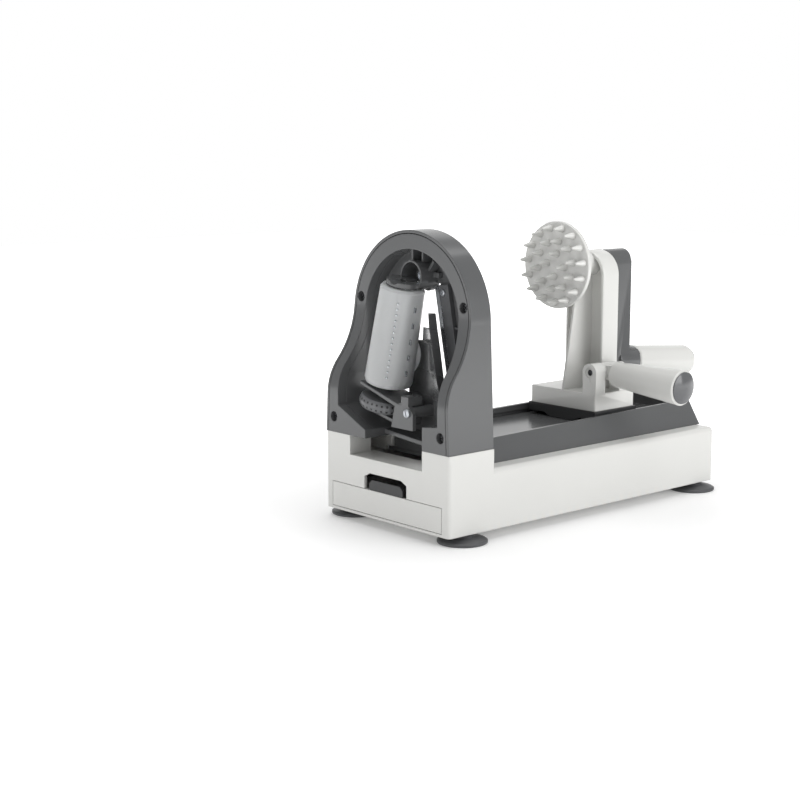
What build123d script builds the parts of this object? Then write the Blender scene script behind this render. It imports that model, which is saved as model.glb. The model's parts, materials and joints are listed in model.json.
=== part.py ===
from build123d import *

import os
from math import atan2, cos, radians, sin, sqrt

# Tabletop spiralizer with a crank. +X runs along the base towards the crank, -Y is the side of the
# push handle, +Z is up. The origin is the centre of the base's outline on the table plane.

# ---- driving dimensions, mm
BASE_LENGTH = 304.0
BASE_WIDTH = 140.0
BASE_BOTTOM = 7.0  # height of the tub's lower edge over the table
TUB_TOP = 52.5
CHEEK_TOP = 67.5  # the raised front cheeks, on which the arch stands
CHEEK_DEPTH = 45.0
NOTCH_HALF = 41.0  # half the gap between the cheeks
LEDGE_DEPTH = 25.0
WALL = 2.6

FOOT_RADIUS = 18.8
FOOT_X = (22.0, 288.0)  # from the front face
FOOT_Y = 61.0

DRAWER_HALF = 62.0
DRAWER_LOW, DRAWER_HIGH = 9.6, 28.5
DRAWER_LENGTH = 180.0
WINDOW_HALF, WINDOW_TOP, WINDOW_CHAMFER = 24.0, 41.5, 6.0

RAIL_FOOT_HALF, RAIL_TOP_HALF = 55.0, 42.3
RAIL_TOP = 72.5  # at the rear end
RAIL_TOP_FRONT = 68.8
TROUGH_HALF, TROUGH_FLOOR = 40.5, 63.0
GROOVE_DEPTH, GROOVE_LOW, GROOVE_HIGH = 2.6, 63.0, 66.0

ARCH_RADIUS, ARCH_CENTRE_Z = 65.5, 159.0
ARCH_FOOT_HALF = 69.4
ARCH_SETBACK = 25.2  # the upper front lies this far behind the lower front
COVER_DEPTH = 8.0
THROAT_RADIUS = 52.5
BACK_WALL = 3.0

AXIS_Z = 190.2  # axis of the crank, the pronged disc and the corer
DISC_RADIUS, DISC_THICK, DISC_X = 35.1, 4.0, 182.4
PRONG_LENGTH, PRONG_RADIUS = 10.0, 2.3
PRONG_RINGS = ((4, 9.5, 8.0), (10, 19.5, 27.0), (15, 30.0, 6.0))  # count, ring radius, first angle

TOWER_X, TOWER_DEPTH, TOWER_HALF, TOWER_ARC_Z = 217.4, 19.2, 20.45, 180.0
PLATE_X, PLATE_LENGTH, PLATE_HALF = 192.8, 48.1, 35.5
PLATE_LOW, PLATE_HIGH = 73.2, 87.3
SHAFT_RADIUS, BUSH_RADIUS = 5.0, 7.5
RUNNING_GAP = 0.06  # radial clearance of a shaft in its bore

HINGE_Y, HINGE_Z, HINGE_RADIUS = -28.8, 104.3, 2.5
PUSH_X, PUSH_DROOP = 214.2, 2.5
PUSH_ROOT_Y, PUSH_LENGTH = -37.6, 70.0
PUSH_ROOT_RADIUS, PUSH_END_RADIUS = 10.2, 14.2

ARM_X, ARM_DEPTH, ARM_HALF = 239.8, 24.5, 11.0
ARM_TOP_ARC_Z = 187.6
CRANK_DROP = 85.2  # from the crank axis to the middle of the grip's boss
GRIP_RADIUS, GRIP_DROOP, GRIP_LENGTH = 13.0, 5.3, 75.0
GRIP_PIN_RADIUS = 4.0

WHEEL_RADIUS, WHEEL_HALF = 20.0, 4.5
DRUM_TILT = 12.9
WHEEL_CENTRE = (21.5, 24.5, 93.5)  # x from the front face
DRUM_LOW, DRUM_HIGH = 14.5, 92.0  # along the axle, from the middle of the wheel
DRUM_LOW_RADIUS, DRUM_HIGH_RADIUS = 18.5, 16.9
DRUM_WALL = 1.8
AXLE_RADIUS = 2.5

FRONT = -BASE_LENGTH / 2


# ---- helpers
def x_at(distance):
    """X of a point a distance behind the front face."""
    return FRONT + distance


def facing_x(distance):
    """Plane across the base: its x is Y and its y is Z, and it extrudes towards +X."""
    return Plane(origin=(x_at(distance), 0, 0), x_dir=(0, 1, 0), z_dir=(1, 0, 0))


def facing_y(y=0.0):
    """Plane along the base: its x is X and its y is Z, and it extrudes towards -Y."""
    return Plane(origin=(0, y, 0), x_dir=(1, 0, 0), z_dir=(0, -1, 0))


def box(x_range, y_range, z_range):
    """Block between two distances from the front face, two Y and two Z."""
    size = [high - low for low, high in (x_range, y_range, z_range)]
    corner = (x_at(x_range[0]), y_range[0], z_range[0])
    return Pos(*corner) * Box(*size, align=(Align.MIN, Align.MIN, Align.MIN))


def rod(radius, start, end):
    """Round bar between two points, whose x is measured from the front face."""
    first = Vector(x_at(start[0]), start[1], start[2])
    last = Vector(x_at(end[0]), end[1], end[2])
    along = last - first
    return extrude(Plane(origin=first, z_dir=along) * Circle(radius), along.length)


def across(points, start, end):
    """Outline in Y and Z, extruded between two distances from the front face."""
    outline = make_face(Polyline(*points, close=True))
    return extrude(facing_x(start) * outline, end - start)


def along_y(points, low, high):
    """Outline in distance from the front face and Z, extruded between two Y."""
    outline = make_face(Polyline(*[(x_at(x), z) for x, z in points], close=True))
    return extrude(facing_y(high) * outline, high - low)


def round_top(half, low, centre_z, start, end):
    """Upright slab with a half-round top, across the base."""
    arc = ThreePointArc((half, centre_z), (0, centre_z + half), (-half, centre_z))
    sides = Polyline((-half, centre_z), (-half, low), (half, low), (half, centre_z))
    return extrude(facing_x(start) * make_face([arc, sides]), end - start)


def taken(part, *tools):
    """A part less each tool."""
    for tool in tools:
        part = part - tool
    return part


def dome_arc(radius, low, rise):
    """Arc of a ball, from a rim at the given radius up to the axis."""
    ball = (radius * radius + rise * rise) / (2 * rise)
    half_turn = atan2(radius, ball - rise) / 2
    middle = (ball * sin(half_turn), low + rise - ball * (1 - cos(half_turn)))
    return ThreePointArc((radius, low), middle, (0, low + rise))


# ---- base
def base_tub():
    rear = BASE_LENGTH
    half = BASE_WIDTH / 2
    side = [(0, BASE_BOTTOM), (rear, BASE_BOTTOM), (rear, TUB_TOP), (CHEEK_DEPTH, TUB_TOP)]
    side += [(CHEEK_DEPTH, CHEEK_TOP), (0, CHEEK_TOP)]
    tub = along_y(side, -half, half)
    upright = tub.edges().filter_by(Axis.Z).filter_by(lambda e: abs(e.center().X) > rear / 2 - 1)
    tub = fillet(upright, 3.0)
    top = tub.edges().filter_by(Axis.X).filter_by(lambda e: abs(e.center().Z - TUB_TOP) < 0.1)
    tub = fillet(top, 4.0)
    notch = box((-1, CHEEK_DEPTH + 1), (-NOTCH_HALF, NOTCH_HALF), (TUB_TOP, CHEEK_TOP + 1))
    inner = half - WALL
    hollow = box((WALL, rear - WALL), (-inner, inner), (BASE_BOTTOM - 1, TUB_TOP - WALL))
    top_hole = box((LEDGE_DEPTH, rear - 12), (-48, 48), (TUB_TOP - WALL - 1, TUB_TOP + 1))
    tub = taken(tub, notch, hollow, top_hole)
    for mirror_y in (1, -1):
        span = sorted((mirror_y * (NOTCH_HALF + WALL), mirror_y * inner))
        tub -= box((WALL, CHEEK_DEPTH - WALL), span, (TUB_TOP - WALL - 1, CHEEK_TOP - WALL))
        open_side = sorted((mirror_y * (NOTCH_HALF - 1), mirror_y * (NOTCH_HALF + WALL + 1)))
        tub -= box((LEDGE_DEPTH - 4, CHEEK_DEPTH - WALL), open_side, (TUB_TOP, CHEEK_TOP - WALL))
    gap = 0.4
    tub -= box((-1, WALL + 1), (-DRAWER_HALF - gap, DRAWER_HALF + gap), (DRAWER_LOW - gap, DRAWER_HIGH + gap))
    low, high, cut = DRAWER_HIGH, WINDOW_TOP, WINDOW_CHAMFER
    window = [(-WINDOW_HALF, low), (WINDOW_HALF, low), (WINDOW_HALF, high - cut / 2)]
    window += [(WINDOW_HALF - cut, high), (cut - WINDOW_HALF, high), (-WINDOW_HALF, high - cut / 2)]
    tub -= across(window, -1, WALL + 1)
    for mirror_y in (1, -1):
        rib = sorted((mirror_y * (DRAWER_HALF - 5), mirror_y * (inner + 0.2)))
        tub += box((WALL - 0.2, 205), rib, (DRAWER_HIGH + 0.6, DRAWER_HIGH + 2.6))
    for x, y in FLOOR_SCREWS:
        tub += rod(4.5, (x, y, BASE_BOTTOM + 2.2), (x, y, TUB_TOP - WALL + 0.2))
        tub -= rod(1.5, (x, y, BASE_BOTTOM), (x, y, BASE_BOTTOM + 14))
    return tub


FLOOR_SCREWS = [(x, y) for x in (218, 262) for y in (-53, 53)]


def base_floor():
    inner = BASE_WIDTH / 2 - WALL
    plate = box((WALL, BASE_LENGTH - WALL), (-inner, inner), (BASE_BOTTOM, BASE_BOTTOM + 2.2))
    for x in FOOT_X:
        for y in (-FOOT_Y, FOOT_Y):
            plate -= rod(4.0, (x, y, BASE_BOTTOM - 1), (x, y, BASE_BOTTOM + 4))
    for x, y in FLOOR_SCREWS:
        plate -= rod(1.8, (x, y, BASE_BOTTOM - 1), (x, y, BASE_BOTTOM + 4))
    return plate


def floor_screws():
    head = BASE_BOTTOM
    screws = []
    for x, y in FLOOR_SCREWS:
        screws.append(rod(3.4, (x, y, head - 2), (x, y, head)) + rod(1.5, (x, y, head), (x, y, head + 12)))
    return Compound(children=screws)


def suction_foot(x, y):
    """Shallow cup with a neck, and a button that holds it in the floor plate."""
    plate = 2.2
    profile = Polyline(
        (0, 2.2), (FOOT_RADIUS - 3.5, 0.7), (FOOT_RADIUS - 2.5, 0), (FOOT_RADIUS - 0.5, 0),
        (FOOT_RADIUS, 0.5), (FOOT_RADIUS, 1.8),
        (FOOT_RADIUS - 1.2, 2.6), (9, 4.6), (6.5, BASE_BOTTOM), (4.0, BASE_BOTTOM),
        (4.0, BASE_BOTTOM + plate), (5.2, BASE_BOTTOM + plate), (4.2, BASE_BOTTOM + 4), (0, BASE_BOTTOM + 4),
        close=True,
    )
    cup = revolve(Plane.XZ * make_face(profile), Axis.Z)
    return Pos(x_at(x), y, 0) * cup


def rail_frame():
    front, rear = CHEEK_DEPTH, BASE_LENGTH
    outline = [(-RAIL_FOOT_HALF, TUB_TOP), (RAIL_FOOT_HALF, TUB_TOP)]
    outline += [(RAIL_TOP_HALF, RAIL_TOP), (-RAIL_TOP_HALF, RAIL_TOP)]
    frame = across(outline, front, rear)
    high = RAIL_TOP + 1
    slope = [(front - 1, RAIL_TOP_FRONT), (rear + 1, RAIL_TOP), (rear + 1, high), (front - 1, high)]
    frame -= along_y(slope, -60, 60)
    trough_end = rear - 7
    frame -= box((front - 1, trough_end), (-TROUGH_HALF, TROUGH_HALF), (TROUGH_FLOOR, high))
    deep = TROUGH_HALF + GROOVE_DEPTH
    frame -= box((front - 1, trough_end - 8), (-deep, deep), (GROOVE_LOW, GROOVE_HIGH))
    under_top = TROUGH_FLOOR - WALL
    lean = (RAIL_FOOT_HALF - RAIL_TOP_HALF) / (RAIL_TOP - TUB_TOP)
    foot = RAIL_FOOT_HALF - 3.2
    under = [(-foot, TUB_TOP - 1), (foot, TUB_TOP - 1)]
    head = foot - lean * (under_top - TUB_TOP + 1)
    under += [(head, under_top), (-head, under_top)]
    frame -= across(under, front + 3, rear - 3)
    skirt = box((front + 0.4, rear - 12.4), (-47.6, 47.6), (TUB_TOP - 3, TUB_TOP + 1))
    skirt -= box((front + 3, rear - 15), (-45, 45), (TUB_TOP - 4, TUB_TOP + 2))
    for x in (110, 175, 240):
        skirt += box((x, x + 2), (-45.5, 45.5), (TUB_TOP - 3, under_top + 0.5))
    return frame + skirt


# ---- arch
def arch_profile(offset):
    """Side view of the arch, from its S-shaped front edge moved back by offset to the rear plane."""
    low_arc, high_arc, start_z = 40.0, 70.0, 98.0
    fall = 1 - ARCH_SETBACK / (low_arc + high_arc)
    rise = sqrt(1 - fall * fall)
    bend_x, bend_z = low_arc * (1 - fall), start_z + low_arc * rise
    end_z = bend_z + high_arc * rise
    half_rise = sqrt((1 - fall) / 2)
    low_mid = (low_arc * (1 - sqrt((1 + fall) / 2)), start_z + low_arc * half_rise)
    high_mid = (ARCH_SETBACK - high_arc * (1 - sqrt((1 + fall) / 2)), end_z - high_arc * half_rise)
    shift = x_at(offset)

    def moved(point):
        return (point[0] + shift, point[1])

    top = ARCH_CENTRE_Z + ARCH_RADIUS + 5
    rear = x_at(CHEEK_DEPTH)
    lower = Line(moved((0, CHEEK_TOP - 5)), moved((0, start_z)))
    low_curve = ThreePointArc(moved((0, start_z)), moved(low_mid), moved((bend_x, bend_z)))
    high_curve = ThreePointArc(moved((bend_x, bend_z)), moved(high_mid), moved((ARCH_SETBACK, end_z)))
    upper = Line(moved((ARCH_SETBACK, end_z)), moved((ARCH_SETBACK, top)))
    back = Polyline(moved((ARCH_SETBACK, top)), (rear, top), (rear, CHEEK_TOP - 5), moved((0, CHEEK_TOP - 5)))
    face = make_face([lower, low_curve, high_curve, upper, back])
    return extrude(facing_y() * face, 80, both=True)


def arch_outline(inset, start, end):
    """Front view of the arch, drawn in by inset."""
    radius = ARCH_RADIUS - inset
    foot = ARCH_FOOT_HALF - inset
    arc = ThreePointArc((radius, ARCH_CENTRE_Z), (0, ARCH_CENTRE_Z + radius), (-radius, ARCH_CENTRE_Z))
    base = [(-radius, ARCH_CENTRE_Z), (-foot, CHEEK_TOP), (-NOTCH_HALF, CHEEK_TOP), (NOTCH_HALF, CHEEK_TOP)]
    base += [(foot, CHEEK_TOP), (radius, ARCH_CENTRE_Z)]
    return extrude(facing_x(start) * make_face([arc, Polyline(*base)]), end - start)


RAMP_HIGH = (55.2, 89.1)
RAMP_LOW = (23.0, 74.0)


def throat(start, end):
    """The opening through the arch, over the ramp on the left and the step on the right."""
    radius = THROAT_RADIUS
    centre = ARCH_CENTRE_Z - 1
    arc = ThreePointArc((radius, centre), (0, centre + radius), (-radius, centre))
    left = [(radius, centre), (55.5, 112), RAMP_HIGH, RAMP_LOW, (RAMP_LOW[0], CHEEK_TOP - 4)]
    right = [(-NOTCH_HALF, CHEEK_TOP - 4), (-NOTCH_HALF, 85), (-57.2, 87), (-57.2, 104), (-radius, centre)]
    return extrude(facing_x(start) * make_face([arc, Polyline(*left, *right)]), end - start)


CHUTE_THICK = 3.2


def chute_top(y):
    """Height of the chute's floor, which falls towards the right cheek."""
    left, right = (RAMP_LOW[0] + 0.5, 72.5), (-NOTCH_HALF - 0.5, 67.0)
    return right[1] + (y - right[0]) * (left[1] - right[1]) / (left[0] - right[0])


def chute_slab(rise, depth, start, end):
    """Slab whose top lies a rise above the chute's floor and whose underside lies depth below the floor."""
    left, right = RAMP_LOW[0] + 0.5, -NOTCH_HALF - 0.5
    top = [(left, chute_top(left) + rise), (right, chute_top(right) + rise)]
    under = [(right, chute_top(right) - depth), (left, chute_top(left) - depth)]
    return across(top + under, start, end)


def drum_window():
    """Slanted window in the back wall, where the drum faces the food."""
    outline = [(-14.6, 185), (-29.9, 108), (-19, 97), (40, 97), (42, 106), (30, 185)]
    return across(outline, CHEEK_DEPTH - BACK_WALL - 1, CHEEK_DEPTH + 1)


def screw_places():
    """Front ends of the four arch screws: distance from the front face, Y, Z."""
    lower = [(0.0, y, 79.6) for y in (-60.3, 60.3)]
    upper = [(ARCH_SETBACK, y, 171.2) for y in (-57.0, 57.0)]
    return lower + upper


def screw_bores(radius, start, end):
    return [rod(radius, (x + start, y, z), (x + end, y, z)) for x, y, z in screw_places()]


def arch_shell():
    lip = 2.2
    body = arch_outline(0, 0, CHEEK_DEPTH) & arch_profile(0)
    cover_zone = (arch_profile(-2) - arch_profile(COVER_DEPTH)) & arch_outline(lip, -3, CHEEK_DEPTH - 1)
    body = body - cover_zone - throat(-1, CHEEK_DEPTH - BACK_WALL)
    body -= drum_window()
    body -= box((CHEEK_DEPTH - 4, CHEEK_DEPTH + 1), (-NOTCH_HALF, RAMP_LOW[0]), (CHEEK_TOP - 5, CHEEK_TOP + 1))
    body += chute_slab(0, CHUTE_THICK, 20, CHEEK_DEPTH) & box((0, 60), (-NOTCH_HALF + 0.1, 30), (0, 100))
    body -= corer_axis_bore(COLLAR_RADIUS, CHEEK_DEPTH - 6, CHEEK_DEPTH + 2)
    for y, z in HOLDER_SCREWS:
        body -= rod(1.3, (HOLDER_X - 1, y, z), (CHEEK_DEPTH - 0.8, y, z))
    return taken(body, *screw_bores(1.6, COVER_DEPTH - 1, COVER_DEPTH + 10))


def arch_cover():
    gap = 0.6
    slab = arch_profile(0) - arch_profile(COVER_DEPTH)
    cover = (slab & arch_outline(2.2 + gap, -1, CHEEK_DEPTH - 1)) - throat(-1, CHEEK_DEPTH)
    cover = taken(cover, *screw_bores(4.0, -3, 4.6))
    return taken(cover, *screw_bores(1.9, 0, COVER_DEPTH + 2))


def arch_screws():
    screws = []
    for x, y, z in screw_places():
        head = rod(3.4, (x + 2.4, y, z), (x + 4.6, y, z))
        screws.append(head + rod(1.6, (x + 4.6, y, z), (x + COVER_DEPTH + 9, y, z)))
    return Compound(children=screws)


# ---- blade holder, fin and corer
HOLDER_X = 38.0
HOLDER_TOP = (-15.2, 184.0)
HOLDER_FOOT = (-29.5, 112.0)
HOLDER_WIDTH = 11.5
HOLDER_SCREWS = [(-21.9, 178.7), (-34.5, 119.0)]


def blade_holder():
    """Strip along the right edge of the slanted window."""
    (top_y, top_z), (foot_y, foot_z) = HOLDER_TOP, HOLDER_FOOT
    outline = [(top_y, top_z), (foot_y, foot_z), (foot_y - HOLDER_WIDTH, foot_z + 1)]
    outline += [(top_y - HOLDER_WIDTH, top_z + 1)]
    strip = across(outline, HOLDER_X, CHEEK_DEPTH - BACK_WALL)
    strip += box((HOLDER_X + 1.5, CHEEK_DEPTH - BACK_WALL), (-44, -28), (152.4, 154))
    for y, z in HOLDER_SCREWS:
        strip -= rod(1.5, (HOLDER_X - 1, y, z), (CHEEK_DEPTH, y, z))
    return strip


def straight_blade():
    """Thin steel strip on the holder, whose edge stands just past it."""
    (top_y, top_z), (foot_y, foot_z) = HOLDER_TOP, HOLDER_FOOT
    edge, back = 1.6, 2.4
    outline = [(top_y + edge, top_z - 1), (foot_y + edge, foot_z + 1)]
    outline += [(foot_y - back, foot_z + 1), (top_y - back, top_z - 1)]
    return across(outline, HOLDER_X - 0.8, HOLDER_X)


def holder_screws():
    screws = []
    for y, z in HOLDER_SCREWS:
        head = rod(2.6, (HOLDER_X - 1.5, y, z), (HOLDER_X, y, z))
        screws.append(head + rod(1.3, (HOLDER_X, y, z), (HOLDER_X + 5.5, y, z)))
    return Compound(children=screws)


def noodle_fin():
    """Wedge on the chute, its ridge forward, wide below and narrow above a shoulder, with the bracket's boss."""
    back = 31.0

    def section(z, ridge, left, right):
        points = [(x_at(ridge[0]), ridge[1]), (x_at(back), left), (x_at(back), right)]
        return Plane.XY.offset(z) * make_face(Polyline(*points, close=True))

    shoulder = 152.0
    wide = loft([section(66.4, (11, -34), -7, -39.5), section(shoulder, (20.7, -24.2), -10.5, -28.6)])
    narrow = loft([section(shoulder - 1, (20.6, -24.3), -18.5, -28.7), section(164, (22, -22.8), -18.8, -27.2)])
    fin = wide + narrow - chute_slab(0, 20, 0, CHEEK_DEPTH)
    fin += rod(4.5, (BRACKET_X + BRACKET_PLATE, BRACKET_Y, BRACKET_Z), (back, BRACKET_Y, BRACKET_Z))
    return fin - rod(1.5, (BRACKET_X, BRACKET_Y, BRACKET_Z), (BRACKET_X + 18, BRACKET_Y, BRACKET_Z))


def corer_axis_bore(radius, start, end):
    return rod(radius, (start, 0, AXIS_Z), (end, 0, AXIS_Z))


COLLAR_START, COLLAR_RADIUS, COLLAR_WALL = 25.5, 11.8, 1.4


def corer_collar():
    """Collar round the corer, held by ribs, cut open below for the drum, whose upper bearing it carries."""
    rear, roof = CHEEK_DEPTH, ARCH_CENTRE_Z - 1 + THROAT_RADIUS + 1
    wall_face = rear - BACK_WALL
    collar = corer_axis_bore(COLLAR_RADIUS, COLLAR_START, rear)
    for start, y in ((COLLAR_START + 4.5, 2.6), (COLLAR_START + 7.5, -5.4)):
        collar += box((start, wall_face), (y, y + 1.8), (AXIS_Z + 2, roof))
    slant = [(-10.6, AXIS_Z + 3), (-9.2, AXIS_Z + 4.6), (-15.4, AXIS_Z + 12.4), (-16.8, AXIS_Z + 10.8)]
    collar += across(slant, COLLAR_START + 8, wall_face)
    collar += box((rear - 7, wall_face), (-17, 17), (AXIS_Z - 1, AXIS_Z + 3))
    collar = collar & (throat(0, wall_face) + corer_axis_bore(COLLAR_RADIUS, 0, rear))
    collar -= corer_axis_bore(COLLAR_RADIUS - COLLAR_WALL, COLLAR_START - 1, rear - 5)
    collar += axle_rod(13.0, DRUM_HIGH + 0.9, DRUM_HIGH + 4.5)
    collar -= axle_rod(DRUM_LOW_RADIUS + 3, DRUM_HIGH - 20, DRUM_HIGH + 0.9)
    collar -= corer_axis_bore(5.0, 5, rear - 5)
    for turn in (45, 135, 225, 315):
        y, z = 7.0 * cos(radians(turn)), AXIS_Z + 7.0 * sin(radians(turn))
        collar -= rod(1.4, (rear - 8, y, z), (rear + 1, y, z))
    collar -= corer_axis_bore(4.6, COLLAR_START, rear + 1)
    return collar - axle_rod(AXLE_RADIUS + RUNNING_GAP, DRUM_HIGH - 2, DRUM_HIGH + 6)


def corer_tube():
    """Thin steel tube with a ground edge that cuts out the core."""
    tip, start = CHEEK_DEPTH + 5.5, CHEEK_DEPTH - 9
    tube = corer_axis_bore(4.6, start, tip) - corer_axis_bore(3.8, start - 1, tip + 1)
    bevel = Cone(4.9, 3.7, 2.2, align=(Align.CENTER, Align.CENTER, Align.MAX))
    place = Plane(origin=(x_at(tip), 0, AXIS_Z), z_dir=(1, 0, 0))
    ground = corer_axis_bore(8, tip - 2.2, tip + 1) - place * bevel
    return tube - ground


# ---- blade drum on its tilted axle
def drum_plane(height=0.0):
    """Plane square to the axle, a height above the middle of the wheel."""
    lean = radians(DRUM_TILT)
    axle = Vector(0, -sin(lean), cos(lean))
    centre = Vector(x_at(WHEEL_CENTRE[0]), WHEEL_CENTRE[1], WHEEL_CENTRE[2])
    return Plane(origin=centre + axle * height, x_dir=(1, 0, 0), z_dir=axle)


def axle_rod(radius, low, high):
    return extrude(drum_plane(low) * Circle(radius), high - low)


def drum_radius(height):
    share = (height - DRUM_LOW) / (DRUM_HIGH - DRUM_LOW)
    return DRUM_LOW_RADIUS + (DRUM_HIGH_RADIUS - DRUM_LOW_RADIUS) * share


SLOT_LOW, SLOT_HIGH, SLOT_HALF = DRUM_LOW + 6.5, DRUM_HIGH - 6.0, 5.0
FINE_TURN, COARSE_TURN, FLAT_TURN = -138.5, -92.0, 0.0
FINE_TEETH, FINE_WIDTH = 14, 1.2
COARSE_TEETH, COARSE_WIDTH = 5, 4.0
WING_TURN, WING_HEIGHT, WING_RADIUS, WING_REACH = -41.0, 38.3, 21.7, 3.2


def tooth_places(teeth):
    """Heights of the middles of a row of teeth."""
    low, high = SLOT_LOW + 1.5, SLOT_HIGH - 1.5
    pitch = (high - low) / teeth
    return [low + pitch * (tooth + 0.5) for tooth in range(teeth)]


def drum_body():
    """Tapered shell with a slit for each tooth, a long slot for the flat blade and a thumb wing."""
    low, high = DRUM_LOW, DRUM_HIGH
    outer = Polyline(
        (0, low), (DRUM_LOW_RADIUS - 3.5, low), (DRUM_LOW_RADIUS - 1.0, low + 1.2), (DRUM_LOW_RADIUS, low + 4),
        (DRUM_HIGH_RADIUS, high - 2), (DRUM_HIGH_RADIUS - 1.5, high), (0, high), close=True,
    )
    inner = Polyline(
        (0, low + 2), (DRUM_LOW_RADIUS - DRUM_WALL - 2.5, low + 2), (DRUM_LOW_RADIUS - DRUM_WALL, low + 4.5),
        (DRUM_HIGH_RADIUS - DRUM_WALL, high - 2), (0, high - 2), close=True,
    )
    shell = revolve(Plane.XZ * make_face(outer), Axis.Z) - revolve(Plane.XZ * make_face(inner), Axis.Z)
    for turn, teeth, width in ((FINE_TURN, FINE_TEETH, FINE_WIDTH), (COARSE_TURN, COARSE_TEETH, COARSE_WIDTH)):
        for height in tooth_places(teeth):
            slit = Pos(10, 0, height) * Box(15, 1.6, width + 0.6, align=(Align.MIN, Align.CENTER, Align.CENTER))
            shell -= Rot(0, 0, turn) * slit
    slot_size = (DRUM_LOW_RADIUS + 5, 2 * SLOT_HALF, SLOT_HIGH - SLOT_LOW)
    slot = Pos(6, 0, SLOT_LOW) * Box(*slot_size, align=(Align.MIN, Align.CENTER, Align.MIN))
    shell -= Rot(0, 0, FLAT_TURN) * slot
    wing_centre = drum_radius(WING_HEIGHT) + WING_REACH - WING_RADIUS
    wing = Pos(wing_centre, 0, WING_HEIGHT) * Rot(90, 0, 0) * Cylinder(WING_RADIUS, 2)
    wing -= Cylinder(drum_radius(WING_HEIGHT) - 1, 200)
    wing &= Pos(25, 0, WING_HEIGHT) * Box(30, 10, 40)
    shell += Rot(0, 0, WING_TURN) * wing
    shell += Rot(0, 0, FINE_TURN) * drum_ledge(-1.6 - 0.4) + Rot(0, 0, COARSE_TURN) * drum_ledge(-1.6 - 0.4)
    shell += Rot(0, 0, FLAT_TURN) * drum_ledge(-SLOT_HALF - 1.4)
    shell -= Cylinder(AXLE_RADIUS, 300)
    return drum_plane() * shell


def drum_ledge(start):
    """Ledge inside the drum that carries one strip."""
    low, high = DRUM_LOW + 1.8, DRUM_HIGH - 1.8
    outline = [(8.0, low), (drum_radius(low) - 3.5, low), (drum_radius(low) - 1.0, low + 3)]
    outline += [(drum_radius(high) - 1.0, high), (8.0, high)]
    return extrude(Plane.XZ.offset(-start - 1.6) * make_face(Polyline(*outline, close=True)), 1.6)


def comb_strip(outline, start):
    return extrude(Plane.XZ.offset(-start - 0.8) * make_face(Polyline(*outline, close=True)), 0.8)


def toothed_blade(turn, teeth, tooth_width, tooth_reach):
    """Steel strip inside the shell, whose teeth stand out through the slits."""
    low, high = SLOT_LOW + 0.5, SLOT_HIGH - 0.5
    inward, clear = 6.5, DRUM_WALL + 0.3
    outline = [(drum_radius(low) - inward, low), (drum_radius(low) - clear, low)]
    for middle in tooth_places(teeth):
        base_low, base_high = middle - tooth_width / 2, middle + tooth_width / 2
        outline.append((drum_radius(base_low) - clear, base_low))
        outline.append((drum_radius(base_low) + tooth_reach, base_low))
        outline.append((drum_radius(base_high) + tooth_reach, base_high))
        outline.append((drum_radius(base_high) - clear, base_high))
    outline += [(drum_radius(high) - clear, high), (drum_radius(high) - inward, high)]
    return drum_plane() * Rot(0, 0, turn) * comb_strip(outline, -0.4)


def flat_blade():
    """Straight steel strip at one side of the long slot, whose edge stands out past the shell."""
    low, high = SLOT_LOW + 1.5, SLOT_HIGH - 1.5
    inward, reach = 5.5, 1.2
    outline = [(drum_radius(low) - inward, low), (drum_radius(low) + reach, low)]
    outline += [(drum_radius(high) + reach, high), (drum_radius(high) - inward, high)]
    return drum_plane() * Rot(0, 0, FLAT_TURN) * comb_strip(outline, -SLOT_HALF + 0.2)


def selector_wheel():
    """Crowned wheel with a hub, turned with a finger from the front."""
    crown = ThreePointArc((WHEEL_RADIUS - 2, -WHEEL_HALF), (WHEEL_RADIUS, 0), (WHEEL_RADIUS - 2, WHEEL_HALF))
    sides = Polyline(
        (WHEEL_RADIUS - 2, WHEEL_HALF), (5, WHEEL_HALF), (5, DRUM_LOW), (AXLE_RADIUS, DRUM_LOW),
        (AXLE_RADIUS, -WHEEL_HALF), (WHEEL_RADIUS - 2, -WHEEL_HALF),
    )
    return drum_plane() * revolve(Plane.XZ * make_face([crown, sides]), Axis.Z)


AXLE_FOOT = -WHEEL_HALF - 3.7


def drum_axle():
    return axle_rod(AXLE_RADIUS, AXLE_FOOT, DRUM_HIGH + 2.4)


BRACKET_X, BRACKET_Y, BRACKET_Z = 8.0, -16.3, 91.1
BRACKET_PLATE, BRACKET_BACK = 3.5, 33.0


def drum_bracket():
    """Clamp-shaped bracket: front plate, side wall, and an arm over and under the selector wheel."""
    top, foot = 96.8, 78.4
    face = [(-2.3, top), (2.2, foot), (-22, foot), (-22, BRACKET_Z), (BRACKET_Y, top)]
    bracket = across(face, BRACKET_X, BRACKET_X + BRACKET_PLATE)
    bracket += across([(-2.3, top), (2.2, foot), (-2.8, foot), (-7.3, top)], BRACKET_X, BRACKET_BACK)
    bracket += across([(38, 109.2), (38, 106.9), (-3.5, 94.2), (-6, top - 0.4)], BRACKET_X, BRACKET_BACK)
    lower = Pos(0, -9.5, 0) * Box(18, 37, 2.6, align=(Align.CENTER, Align.CENTER, Align.MIN))
    bracket += drum_plane(AXLE_FOOT - 0.2) * lower
    bracket += box((BRACKET_X, BRACKET_X + 14), (-17, -9), (top - 0.6, 103))
    bracket -= axle_rod(6.2, 0, DRUM_LOW)
    bracket -= axle_rod(AXLE_RADIUS + RUNNING_GAP, AXLE_FOOT - 5, 0)
    return bracket - rod(1.7, (0, BRACKET_Y, BRACKET_Z), (20, BRACKET_Y, BRACKET_Z))


def bracket_screw():
    x, y, z = BRACKET_X, BRACKET_Y, BRACKET_Z
    return rod(3.4, (x - 2, y, z), (x, y, z)) + rod(1.5, (x, y, z), (x + 16, y, z))


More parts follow.
